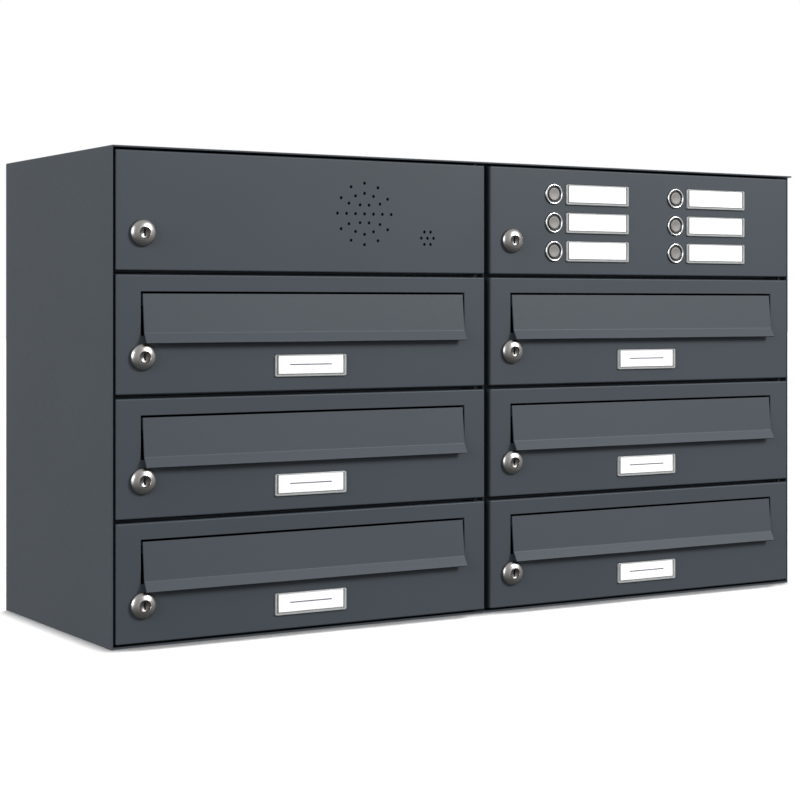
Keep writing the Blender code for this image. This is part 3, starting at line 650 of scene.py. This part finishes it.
def build_locks():
    head, nut, plug = lock_head_mesh(), lock_nut_mesh(), lock_plug_mesh()
    locks = [(f"door_{n}", f"cam_{n}", f"lock_body_{n}", f"lock_plug_{n}", f"lock_{n}") for n in LETTERBOXES]
    for kind in HATCHES:
        nodes = (f"{kind}_lock_body", f"{kind}_lock_plug")
        locks.append((f"{kind}_hatch", f"{kind}_cam", *nodes, f"{kind}_lock"))
    for door, cam, head_node, plug_node, name in locks:
        place = joint_point(cam + "_turn")
        add_piece(name + "_head", head, NICKEL, door, place, [head_node])
        add_piece(name + "_nut", nut, STEEL, door, place)
        add_piece(name + "_turning_plug", plug, PLUG_STEEL, cam, place, [plug_node])


# ---------------------------------------------------------------- name windows


def window_opening(size):
    """Width, height, centre x and centre z of the opening in a window's frame."""
    width = size[0] - WINDOW_LEFT_WALL - WINDOW_RIGHT_WALL
    height = size[1] - WINDOW_BOTTOM_WALL - WINDOW_TOP_WALL
    middle_x = (WINDOW_LEFT_WALL - WINDOW_RIGHT_WALL) / 2
    middle_z = (WINDOW_BOTTOM_WALL - WINDOW_TOP_WALL) / 2
    return width, height, middle_x, middle_z


def window_frame_mesh(name, size, ledge):
    """Moulded frame about its centre at the door's face. A ledge behind the sheet holds it in."""
    front = plate(rounded_outline(*size, WINDOW_CORNER), -WINDOW_PROUD, WINDOW_LEDGE_FRONT + MM)
    round_edges(front, WINDOW_EDGE, 3, lambda edge: is_corner(edge) and all(v.co.y < 0 for v in edge.verts))
    steps = []
    if ledge:
        ledge_size = (size[0] + 2 * WINDOW_LEDGE, size[1] + 2 * WINDOW_LEDGE)
        outline = rounded_outline(*ledge_size, WINDOW_LEDGE_CORNER)
        rim = plate(outline, WINDOW_LEDGE_FRONT, WINDOW_LEDGE_FRONT + WINDOW_LEDGE_SHEET)
        steps.append(("UNION", rim))
    width, height, middle_x, middle_z = window_opening(size)
    opening = plate(rounded_outline(width, height, WINDOW_OPENING_CORNER), -2 * WINDOW_PROUD, 2 * REACH)
    steps.append(("DIFFERENCE", shifted(opening, (middle_x, 0, middle_z))))
    return smooth(boolean(front, *steps), name)


def window_cover_mesh(name, size):
    """Clear sheet just behind the frame's front."""
    width, height, middle_x, middle_z = window_opening(size)
    front = -WINDOW_PROUD + COVER_SETBACK
    outline = rounded_outline(width - FITTING_GAP, height - FITTING_GAP, WINDOW_OPENING_CORNER)
    cover = plate(outline, front, front + COVER_SHEET, 0.06 * MM)
    return smooth(shifted(cover, (middle_x, 0, middle_z)), name)


def card_mesh(name, size):
    """White card behind the cover, pushed to the right of the opening."""
    width, height, middle_x, middle_z = window_opening(size)
    width -= CARD_LEFT_GAP + CARD_RIGHT_GAP
    height -= CARD_BOTTOM_GAP + CARD_TOP_GAP
    middle_x += (CARD_LEFT_GAP - CARD_RIGHT_GAP) / 2
    middle_z += (CARD_BOTTOM_GAP - CARD_TOP_GAP) / 2
    outline = rounded_outline(width, height, CARD_CORNER)
    card = plate(outline, CARD_FRONT, CARD_FRONT + CARD_SHEET, 0.05 * MM)
    return smooth(shifted(card, (middle_x, 0, middle_z)), name)


def add_window(n, kind, meshes, body, place, node):
    """Frame, cover and card of one name window."""
    window_frame, cover, card = meshes
    add_piece(f"{kind}_frame_{n}", window_frame, FROSTED, body, place, [node])
    add_piece(f"{kind}_cover_{n}", cover, CLEAR, body, place)
    add_piece(f"{kind}_card_{n}", card, CARD, body, place)


def window_meshes(kind, size, ledge):
    """Meshes of one kind of name window, to be shared by all of its windows."""
    window_frame = window_frame_mesh(f"{kind}_frame", size, ledge)
    return window_frame, window_cover_mesh(f"{kind}_cover", size), card_mesh(f"{kind}_card", size)


def build_nameplates():
    low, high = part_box("nameplate_1")
    size = (high.x - low.x - 2 * WINDOW_LEDGE, high.z - low.z - 2 * WINDOW_LEDGE)
    meshes = window_meshes("name", size, ledge=True)
    ruled = plate(rounded_outline(*RULED_LINE, 0.4 * MM, 3), -RULED_LINE_THICKNESS, 0)
    line = smooth(shifted(ruled, (0, CARD_FRONT - PLANE_TOLERANCE, MM)), "ruled_line")
    for n in LETTERBOXES:
        node = f"nameplate_{n}"
        place = middle_of(node)
        place.y = corner_of(f"letterbox_door_{n}").y
        add_window(n, "name", meshes, f"door_{n}", place, node)
        add_piece(f"ruled_line_{n}", line, INK, f"door_{n}", place)


# ---------------------------------------------------------------- bell panel


def bezel_ring_mesh():
    """Chromed ring round a button."""
    crown = -BEZEL_PROUD
    mid = (BEZEL_RADIUS + BEZEL_SEAT_RADIUS) / 2
    half = (BEZEL_RADIUS - BEZEL_SEAT_RADIUS) / 2
    profile = [(BEZEL_RADIUS, CARRIER_FRONT), (BEZEL_RADIUS, crown + half)]
    turns = [math.pi * i / 12 for i in range(1, 12)]
    profile += [(mid + half * math.cos(t), crown + half - half * math.sin(t)) for t in turns]
    profile += [(BEZEL_SEAT_RADIUS, crown + half), (BEZEL_SEAT_RADIUS, CARRIER_FRONT)]
    return smooth(turned(profile, 72, closed=True), "bezel_ring")


def bezel_sleeve_mesh():
    """Black sleeve between a ring and its cap."""
    outer = BEZEL_SEAT_RADIUS - FITTING_GAP
    edge = 0.2 * MM
    profile = [(outer, CARRIER_FRONT), (outer, BEZEL_SEAT_Y), (BEZEL_BORE_RADIUS + edge, BEZEL_SEAT_Y)]
    profile += [(BEZEL_BORE_RADIUS, BEZEL_SEAT_Y + edge), (BEZEL_BORE_RADIUS, CARRIER_FRONT)]
    return smooth(turned(profile, 72, closed=True), "bezel_sleeve")


def button_cap_mesh():
    """Cap with a rounded edge and a slightly hollow face, its collar and stem."""
    low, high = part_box("bell_button_1")
    end = high.y - corner_of("bell_door").y
    profile = [(0.1 * MM, -CAP_PROUD + 0.25 * MM), (CAP_RADIUS - 1.8 * MM, -CAP_PROUD + 0.15 * MM)]
    for t in [math.pi / 2 * i / 5 for i in range(6)]:
        radius = CAP_RADIUS - CAP_EDGE + CAP_EDGE * math.sin(t)
        profile.append((radius, -CAP_PROUD + CAP_EDGE - CAP_EDGE * math.cos(t)))
    collar = (high.x - low.x) / 2
    collar_front = CARRIER_BACK + 0.5 * MM
    collar_back = collar_front + COLLAR_SHEET
    profile += [(CAP_RADIUS, collar_front), (collar, collar_front), (collar, collar_back)]
    profile += [(STEM_RADIUS, collar_back), (STEM_RADIUS, end)]
    return smooth(turned(profile, 72), "button_cap")


def build_bell_panel():
    hatch = "bell_hatch"
    face = corner_of("bell_door").y
    ring, sleeve, cap = bezel_ring_mesh(), bezel_sleeve_mesh(), button_cap_mesh()
    meshes = window_meshes("bell", BELL_WINDOW, ledge=False)
    for n in BUTTONS:
        place = middle_of(f"bell_button_{n}")
        place.y = face
        beside = place + Vector((BELL_WINDOW_OFFSET, 0, 0))
        add_piece(f"bezel_ring_{n}", ring, CHROME, hatch, place, ["bell_bezel_carrier"])
        add_piece(f"bezel_sleeve_{n}", sleeve, BLACK, hatch, place)
        add_piece(f"button_cap_{n}", cap, CAP_STEEL, f"button_{n}", place, [f"bell_button_{n}"])
        add_window(n, "bell", meshes, hatch, beside, "bell_nameplate_carrier")


# ---------------------------------------------------------------- stage


def link_to_floor(lamp, floor, state):
    """Makes a lamp light the floor alone (INCLUDE) or everything but the floor (EXCLUDE)."""
    group = bpy.data.collections.new(lamp.name + "_receivers")
    group.objects.link(floor)
    group.collection_objects[0].light_linking.link_state = state
    lamp.light_linking.receiver_collection = group


def area_light(name, place, size, power):
    """A rectangular lamp that faces the middle of the object."""
    data = bpy.data.lights.new(name, "AREA")
    data.shape = "RECTANGLE"
    data.size, data.size_y = size
    data.energy = power
    lamp = bpy.data.objects.new(name, data)
    lamp.location = place
    middle = (Vector(CAD_BOX[0]) + Vector(CAD_BOX[1])) / 2
    lamp.rotation_euler = (middle - Vector(place)).to_track_quat("-Z", "Y").to_euler()
    bpy.context.scene.collection.objects.link(lamp)
    return lamp


def floor_sun():
    """Overhead sun for the floor: the object under it keeps a narrow contact shadow."""
    data = bpy.data.lights.new("floor_sun", "SUN")
    data.energy = FLOOR_SUN_STRENGTH
    data.angle = FLOOR_SUN_ANGLE
    lamp = bpy.data.objects.new("floor_sun", data)
    lamp.rotation_euler = FLOOR_SUN_TILT
    bpy.context.scene.collection.objects.link(lamp)
    return lamp


def build_world():
    """A studio dome: bright overhead and dim below the horizon, but plain white to the camera."""
    world = bpy.data.worlds.new("studio")
    world.use_nodes = True
    tree = world.node_tree
    background = tree.nodes["Background"]
    direction = add(tree, "TexCoord").outputs["Generated"]
    height = add(tree, "SeparateXYZ", {"Vector": direction}).outputs["Z"]
    above = ranged(tree, height, DOME_HORIZON, DOME_ZENITH, (0, 1))
    below = ranged(tree, height, DOME_NADIR / DOME_HORIZON, 1, (-0.6, 0))
    dome = add(tree, "Math", {0: above, 1: below}, operation="MULTIPLY").outputs["Value"]
    seen = add(tree, "LightPath").outputs["Is Camera Ray"]
    strength = add(tree, "Mix", {"Factor": seen, "A": dome, "B": 1.0}).outputs["Result"]
    tree.links.new(strength, background.inputs["Strength"])
    background.inputs["Color"].default_value = (1, 1, 1, 1)
    bpy.context.scene.world = world


def build_floor():
    outline = bmesh.new()
    bmesh.ops.create_grid(outline, x_segments=1, y_segments=1, size=FLOOR_SIZE / 2)
    floor = bpy.data.objects.new("floor", as_mesh(outline, "floor"))
    floor.data.materials.append(FLOOR)
    floor.location = (0, 0, CAD_BOX[0][2] - 0.2 * MM)
    floor.visible_diffuse = False
    floor.visible_glossy = False
    bpy.context.scene.collection.objects.link(floor)
    return floor


def build_lights(floor):
    link_to_floor(area_light("key", *KEY), floor, "EXCLUDE")
    link_to_floor(area_light("fill", *FILL), floor, "EXCLUDE")
    link_to_floor(floor_sun(), floor, "INCLUDE")
    bpy.context.scene.view_settings.view_transform = "Standard"


def build_camera():
    data = bpy.data.cameras.new("camera")
    data.lens = CAMERA_LENS
    data.sensor_width = 36
    data.shift_x, data.shift_y = CAMERA_SHIFT
    camera = bpy.data.objects.new("camera", data)
    front = corner_of("intercom_door").y
    away = Vector((math.sin(CAMERA_YAW), math.cos(CAMERA_YAW), 0)) * CAMERA_DISTANCE
    camera.location = Vector((0, front, CAMERA_HEIGHT)) - away
    camera.rotation_euler = (math.pi / 2, 0, -CAMERA_YAW)
    bpy.context.scene.collection.objects.link(camera)
    bpy.context.scene.camera = camera


def paint_kept_nodes():
    """Better materials for the CAD nodes that stay in view."""
    kept = {
        "housing_base": COAT, "back_panel": COAT, "centre_partition": COAT, "cable_grommet": RUBBER,
        "left_hinge_rod": ROD, "right_hinge_rod": ROD, "speaker_unit": BLACK,
        "intercom_box_body": COAT, "bell_box_body": COAT,
    }
    kept.update({f"letterbox_body_{n}": COAT for n in LETTERBOXES})
    for name, material in kept.items():
        frame["nodes"][name].material_slots[0].material = material


build_camera()
build_world()
build_lights(build_floor())
paint_kept_nodes()
build_housing()
build_doors()
build_flaps()
build_locks()
build_nameplates()
build_bell_panel()
